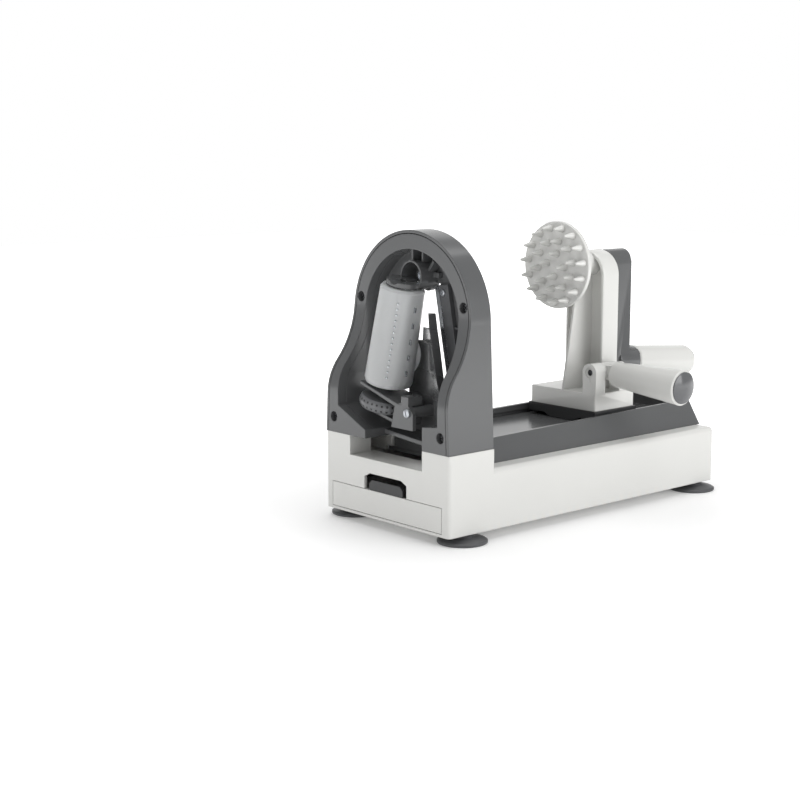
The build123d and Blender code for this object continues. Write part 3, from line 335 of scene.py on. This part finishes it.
# %% Give every CAD node its finish
FINISH_OF_SLOT = {
    "white_plastic": WHITE_ABS,
    "grey_plastic": GREY_ABS,
    "dark_plastic": DARK_PP,
    "cap_grey": CAP_GREY,
    "frosted_plastic": FROSTED,
    "foot_rubber": FOOT_RUBBER,
    "blade_steel": BLADE_STEEL,
    "screw_steel": ZINC_STEEL,
    "bush_plastic": BUSH_ACETAL,
}
SLOT_OF_NODE = {part["node"]: part["material_slot"] for part in frame["record"]["subparts"]}


def finish(item, material):
    """Gives an object one material in place of what it has."""
    item.data.materials.clear()
    item.data.materials.append(material)


for node, item in frame["nodes"].items():
    finish(item, FINISH_OF_SLOT[SLOT_OF_NODE[node]])
finish(frame["nodes"]["selector_wheel"], WHEEL_ABS)
print("finished nodes:", len(frame["nodes"]))

# %% [markdown]
# ## Helpers for new pieces
# Each new piece starts as a bmesh, is moved to its place while it is still one, and becomes an object at the
# origin, as the CAD nodes are. Groups of equal things, such as four screws, are found again
# in the frame: the node's loose triangles are merged, and each connected island is one of them. They are
# sorted by place, because a Python set hands out its members in an order that changes from run to run.

# %% Make a piece, and find the solids of a node
SHARP_FROM = radians(35)  # edges sharper than this stay sharp in the shading
MERGE_WITHIN = 0.01 * MM


def piece(name, shape, material, body, slot, *nodes):
    """Turns a bmesh into a finished object that rides on a body and may stand for CAD nodes."""
    mesh = bpy.data.meshes.new(name)
    bmesh.ops.recalc_face_normals(shape, faces=shape.faces)
    shape.to_mesh(mesh)
    shape.free()
    for face in mesh.polygons:
        face.use_smooth = True
    mesh.set_sharp_from_angle(angle=SHARP_FROM)
    item = bpy.data.objects.new(name, mesh)
    bpy.context.scene.collection.objects.link(item)
    mesh.materials.append(material)
    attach(item, body)
    if nodes:
        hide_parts(*nodes)
    print(name, len(mesh.polygons), "faces, on", body)
    return item


def solids_of(node):
    """Lowest and highest corner of every solid of a CAD node, sorted by the lowest corner's place."""
    shape = bmesh.new()
    shape.from_mesh(frame["nodes"][node].data)
    bmesh.ops.remove_doubles(shape, verts=shape.verts, dist=MERGE_WITHIN)
    left, corners = set(shape.verts), []
    while left:
        island, waiting = set(), [left.pop()]
        while waiting:
            vert = waiting.pop()
            island.add(vert.co.copy().freeze())
            near = [link.other_vert(vert) for link in vert.link_edges]
            fresh = [other for other in near if other in left]
            left.difference_update(fresh)
            waiting.extend(fresh)
        low = Vector([min(co[axis] for co in island) for axis in range(3)])
        high = Vector([max(co[axis] for co in island) for axis in range(3)])
        corners.append((low, high))
    shape.free()
    return sorted(corners, key=lambda pair: [round(value / MERGE_WITHIN) for value in pair[0]])


TOWARDS_FRONT = Vector((-1, 0, 0)).to_track_quat("Z", "Y").to_matrix().to_4x4()  # turns +Z onto -X
print("arch screws found:", len(solids_of("arch_screws")))

# %% [markdown]
# ## Screws
# In the solids a screw is a plain disc on a rod. The real heads are low domes with a cross or a slot
# pressed into them, and the drive is what makes a small bright dot read as a screw. A head is a circle,
# extruded, with its upper edge bevelled. The drive is cut as a real recess: the top is sliced along the slot's
# sides with bisect_plane, and the faces between the slices are pushed down.

# %% Screw heads with a pressed drive
HEAD_ROUNDING, DRIVE_REACH, DRIVE_DEPTH = 0.55, 0.62, 0.55  # shares of the head's height, radius and height
TOP_BAND = 0.9  # faces above this share of the height belong to the head's top
DRIVE_HALF_WIDTH = 0.42 * MM
FIRST_TURN, NEXT_TURN = 17, 61  # degrees; nobody lines up the drives of four screws


def screw(head_radius, head_height, shank_radius, shank_length, arms, slot_half):
    """Screw along -Z with its head's underside at the origin; arms is 1 for a slot and 2 for a cross."""
    shape = bmesh.new()
    bmesh.ops.create_circle(shape, cap_ends=True, segments=28, radius=head_radius)
    top = bmesh.ops.extrude_face_region(shape, geom=shape.faces[:])
    moved = [item for item in top["geom"] if isinstance(item, bmesh.types.BMVert)]
    bmesh.ops.translate(shape, verts=moved, vec=(0, 0, head_height))
    edges = [item for item in top["geom"] if isinstance(item, bmesh.types.BMEdge)]
    bmesh.ops.bevel(shape, geom=edges, offset=head_height * HEAD_ROUNDING, segments=4, profile=0.5,
                    affect="EDGES", material=-1)
    reach = head_radius * DRIVE_REACH
    cuts = [(0, slot_half), (1, slot_half)][:arms] + [(0, reach), (1, reach)]
    for turn, distance in cuts:
        side = Matrix.Rotation(turn * pi / 2, 3, "Z") @ Vector((1, 0, 0))
        for sign in (-1, 1):
            everything = shape.verts[:] + shape.edges[:] + shape.faces[:]
            bmesh.ops.bisect_plane(shape, geom=everything, plane_co=side * sign * distance, plane_no=side)
    sunk = []
    for face in shape.faces:
        middle = face.calc_center_median()
        in_slot = abs(middle.x) < slot_half and abs(middle.y) < reach
        in_cross = arms == 2 and abs(middle.y) < slot_half and abs(middle.x) < reach
        if middle.z > head_height * TOP_BAND and (in_slot or in_cross):
            sunk.append(face)
    pressed = bmesh.ops.extrude_face_region(shape, geom=sunk)
    bmesh.ops.delete(shape, geom=sunk, context="FACES_ONLY")
    deep = [item for item in pressed["geom"] if isinstance(item, bmesh.types.BMVert)]
    bmesh.ops.translate(shape, verts=deep, vec=(0, 0, -head_height * DRIVE_DEPTH))
    bmesh.ops.create_cone(shape, cap_ends=True, segments=16, radius1=shank_radius, radius2=shank_radius,
                          depth=shank_length, matrix=Matrix.Translation((0, 0, -shank_length / 2)))
    return shape


def join(whole, part, place):
    """Adds a part to a bmesh, after a transform, and frees the part."""
    bmesh.ops.transform(part, matrix=place, verts=part.verts)
    carrier = bpy.data.meshes.new("carrier")
    part.to_mesh(carrier)
    part.free()
    whole.from_mesh(carrier)
    bpy.data.meshes.remove(carrier)


SCREW_SETS = {
    # node: (outward, head radius, head height, shank radius, arms, body, material)
    # the arch's screws get the dark steel, as painted shade of their deep holes
    "arch_screws": ((-1, 0, 0), 3.4, 2.2, 1.6, 2, "base", SHADE_DARKENED_STEEL),
    "holder_screws": ((-1, 0, 0), 2.6, 1.5, 1.3, 2, "base", ZINC_STEEL),
    "bracket_screw": ((-1, 0, 0), 3.4, 2.0, 1.5, 1, "base", ZINC_STEEL),
    "floor_screws": ((0, 0, -1), 3.4, 2.0, 1.5, 2, "base", ZINC_STEEL),
    "slider_screws": ((0, 0, -1), 3.4, 2.0, 1.5, 2, "carriage", ZINC_STEEL),
}
for node, (outward, head, tall, shank, arms, body, material) in SCREW_SETS.items():
    outward = Vector(outward)
    axis = max(range(3), key=lambda i: abs(outward[i]))
    screws = bmesh.new()
    for number, (low, high) in enumerate(solids_of(node)):
        foot = (low + high) / 2
        foot[axis] = (low if outward[axis] < 0 else high)[axis] - outward[axis] * tall * MM
        length = high[axis] - low[axis] - tall * MM
        turn = Matrix.Rotation(radians(FIRST_TURN + NEXT_TURN * number), 4, "Z")
        aim = outward.to_track_quat("Z", "Y").to_matrix().to_4x4()
        one = screw(head * MM, tall * MM, shank * MM, length, arms, DRIVE_HALF_WIDTH)
        join(screws, one, Matrix.Translation(foot) @ aim @ turn)
    piece(f"{node}_with_drives", screws, material, body, "screw_steel", node)

# %% [markdown]
# ## Prongs
# The prongs hold the vegetable while the crank turns it. Each is a moulded cone with a soft tip, broad at its
# root so that the mould lets it go. A cone is created with a blunt tip, the tip is bevelled round, and the
# prong is set where the CAD has one, on three rings of the disc.

# %% Prongs
PRONG_ROOT, PRONG_TIP = 3.0 * MM, 0.9 * MM
TIP_BAND, TIP_ROUNDING = 0.9, 0.7  # shares of the prong's length and of its tip's radius
prong_set = bmesh.new()
for low, high in solids_of("prongs"):
    length = high.x - low.x
    one = bmesh.new()
    bmesh.ops.create_cone(one, cap_ends=True, segments=20, radius1=PRONG_ROOT, radius2=PRONG_TIP, depth=length,
                          matrix=Matrix.Translation((0, 0, length / 2)))
    tip = [edge for edge in one.edges if min(vert.co.z for vert in edge.verts) > length * TIP_BAND]
    bmesh.ops.bevel(one, geom=tip, offset=PRONG_TIP * TIP_ROUNDING, segments=3, profile=0.5, affect="EDGES",
                    material=-1)
    root = Vector((high.x, (low.y + high.y) / 2, (low.z + high.z) / 2))
    join(prong_set, one, Matrix.Translation(root) @ TOWARDS_FRONT)
piece("prong_rings", prong_set, WHITE_ABS, "crank", "white_plastic", "prongs")

# %% [markdown]
# ## Fin
# Beside the drum stands a tall fin, which seems to guide the cut strands. Its ridge leans with the
# blade, its left face sweeps back behind the drum and closes the lower part of the window there, and above a
# shoulder only a narrow post is left. One outline, extruded upwards seven times, makes it: after each
# extrusion the new corners are set to the outline at that height. A round boss takes the bracket's screw.

# %% Fin beside the drum
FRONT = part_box("arch_shell")[0][0]
BEHIND_DRUM = [(37, -8), (43.5, 12), (43.5, 22), (45, 22), (41, -14)]
FIN_OUTLINES = [
    # height, then the corners from the ridge round to the right back edge, as (behind the front, y), in mm
    (68.0, [(20, -42.5), *BEHIND_DRUM, (28, -40)]),
    (100.0, [(20, -39.5), *BEHIND_DRUM, (28, -36.5)]),
    (118.5, [(20, -34.1), *BEHIND_DRUM, (28, -33.7)]),
    (139.0, [(20, -29.9), *BEHIND_DRUM, (28, -29.9)]),
    (141.0, [(20, -29.5), (36, -8), (40.3, 2.6), (40.6, 3.5), (41, 3.5), (40.5, -12), (28, -29.5)]),
    (151.0, [(20, -27), (34, -11), (40.3, 2), (40.6, 2.8), (41, 2.8), (40.5, -12), (28, -27.3)]),
    (153.0, [(20, -26.4), (25, -21), (27.2, -19), (27.4, -19), (27.6, -19.2), (27.9, -22), (28, -26.9)]),
    (164.5, [(20, -25.3), (25, -19.8), (27.2, -17.8), (27.4, -17.8), (27.6, -18), (27.9, -20.5), (28, -24.8)]),
]


def at_front(distance, y, height):
    """Point from a distance behind the arch's front, a Y and a height, in mm."""
    return Vector((FRONT + distance * MM, y * MM, height * MM))


fin = bmesh.new()
# Only the number of the circle's corners counts, because the loop below sets each one's place.
bmesh.ops.create_circle(fin, cap_ends=True, segments=len(FIN_OUTLINES[0][1]), radius=1.0)
(section,) = fin.faces
for height, corners in FIN_OUTLINES:
    if height > FIN_OUTLINES[0][0]:
        risen = bmesh.ops.extrude_face_region(fin, geom=[section])
        section = next(item for item in risen["geom"] if isinstance(item, bmesh.types.BMFace))
    for loop, corner in zip(section.loops, corners):
        loop.vert.co = at_front(*corner, height)
low, high = solids_of("bracket_screw")[0]
BOSS_START, BOSS_LENGTH, BOSS_RADIUS, BOSS_TAPER = 11.5 * MM, 20.0 * MM, 4.5 * MM, 0.92
boss = bmesh.new()
bmesh.ops.create_cone(boss, cap_ends=True, segments=32, radius1=BOSS_RADIUS, radius2=BOSS_RADIUS * BOSS_TAPER,
                      depth=BOSS_LENGTH)
boss_middle = Vector((FRONT + BOSS_START + BOSS_LENGTH / 2, (low.y + high.y) / 2, (low.z + high.z) / 2))
join(fin, boss, Matrix.Translation(boss_middle) @ TOWARDS_FRONT)
piece("cut_guide_fin", fin, GREY_ABS, "base", "grey_plastic", "noodle_fin")

# %% [markdown]
# ## Hinge pin
# The push handle folds on a steel pin that sits deep in a bore of the ear, so only its front end shows. That
# end gets a round socket, which reads as a ring in the dark hole: the face is inset, and the inner face is
# pushed in.

# %% Hinge pin with a socket
low, high = solids_of("hinge_pin")[0]
pin = bmesh.new()
PIN_RADIUS, SOCKET_RADIUS, SOCKET_DEPTH = (high.z - low.z) / 2, 1.5 * MM, 1.6 * MM
bmesh.ops.create_cone(pin, cap_ends=True, segments=36, radius1=PIN_RADIUS, radius2=PIN_RADIUS,
                      depth=high.x - low.x)
end = max(pin.faces, key=lambda face: face.calc_center_median().z)
bmesh.ops.inset_region(pin, faces=[end], thickness=PIN_RADIUS - SOCKET_RADIUS, use_even_offset=True)
bmesh.ops.translate(pin, verts=end.verts, vec=(0, 0, -SOCKET_DEPTH))
bmesh.ops.transform(pin, matrix=Matrix.Translation((low + high) / 2) @ TOWARDS_FRONT, verts=pin.verts)
# The pin is coloured dark, as painted shade of its deep bore.
piece("hinge_pin_with_socket", pin, SHADE_DARKENED_STEEL, "carriage", "screw_steel", "hinge_pin")

# %% [markdown]
# ## Rounded mouldings
# No mould leaves a razor edge. The carriage and the crank's arm get real rounded edges, because they stand
# against the bright background. A copy of the node's triangles is merged into flat faces, then the outer
# edges between large faces are bevelled. Edges of small holes are left out, as a wide bevel would eat them.

# %% Rounded copies of the carriage and the arm
FLAT_WITHIN, ROUND_FROM = radians(1), radians(50)
LEAST_FACE, LEAST_LARGE_FACE = 12 * MM ** 2, 60 * MM ** 2  # areas of an edge's smaller and larger face


def eased(name, node, radius, material, body, slot):
    """Copy of a CAD node with its outer edges between large faces rounded."""
    shape = bmesh.new()
    shape.from_mesh(frame["nodes"][node].data)
    bmesh.ops.remove_doubles(shape, verts=shape.verts, dist=MERGE_WITHIN)
    before = shape.calc_volume()
    bmesh.ops.dissolve_limit(shape, angle_limit=FLAT_WITHIN, verts=shape.verts, edges=shape.edges)
    outer = []
    for edge in shape.edges:
        if len(edge.link_faces) == 2 and edge.is_convex and edge.calc_face_angle() > ROUND_FROM:
            smaller, larger = sorted(face.calc_area() for face in edge.link_faces)
            if smaller > LEAST_FACE and larger > LEAST_LARGE_FACE:
                outer.append(edge)
    bmesh.ops.bevel(shape, geom=outer, offset=radius, segments=3, profile=0.5, affect="EDGES", material=-1,
                    clamp_overlap=False)
    print(node, "edges rounded:", len(outer), "volume kept:", round(shape.calc_volume() / before, 4))
    return piece(name, shape, material, body, slot, node)


eased("carriage_rounded", "carriage", 1.0 * MM, WHITE_ABS, "carriage", "white_plastic")
eased("crank_arm_rounded", "crank_arm", 1.2 * MM, GREY_ABS, "crank", "grey_plastic")
